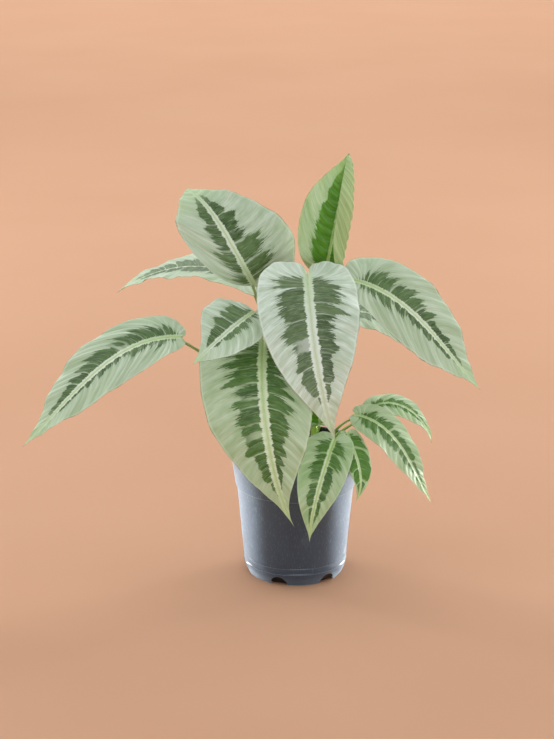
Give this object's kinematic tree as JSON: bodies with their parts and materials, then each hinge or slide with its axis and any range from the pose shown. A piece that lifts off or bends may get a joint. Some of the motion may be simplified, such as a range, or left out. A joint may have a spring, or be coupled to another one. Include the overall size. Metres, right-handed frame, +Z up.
{
  "type": "potted houseplant",
  "caption": "Leafy houseplant with broad heart-shaped, silver-marked leaves on slender stalks, growing in a round tapered nursery pot with a deep collar and drain notches.",
  "frame": {"origin": "middle of the pot's underside, on the ground", "axes": "+Z up along the pot's axis, -Y to the front of the plant, +X to its right as seen from the front"},
  "size_m": [0.4024, 0.1831, 0.3791],
  "materials": {
    "pot": "injection moulded dark grey polypropylene, glossy",
    "soil": "loose dark peat potting mix, matt",
    "blade": "silver-green living leaf with dark green feathered bands, satin",
    "young_blade": "young bright green living leaf, satin",
    "stalk": "smooth olive-green living stalk, satin"
  },
  "bodies": {
    "root": {"pot": "pot", "soil": "soil", "tall_left_blade": "blade", "tall_left_stalk": "stalk", "unrolling_blade": "young_blade", "unrolling_stalk": "stalk", "centre_blade": "blade", "centre_stalk": "stalk", "right_blade": "blade", "right_stalk": "stalk", "right_back_blade": "blade", "right_back_stalk": "stalk", "far_left_blade": "blade", "far_left_stalk": "stalk", "left_back_blade": "blade", "left_back_stalk": "stalk", "left_middle_blade": "blade", "left_middle_stalk": "stalk", "drooping_blade": "blade", "drooping_stalk": "stalk", "rim_front_blade": "blade", "rim_front_stalk": "stalk", "rim_side_blade": "blade", "rim_side_stalk": "stalk", "low_right_blade": "blade", "low_right_stalk": "stalk", "low_right_back_blade": "blade", "low_right_back_stalk": "stalk", "inner_blade": "blade", "inner_stalk": "stalk"}
  },
  "joints": []
}
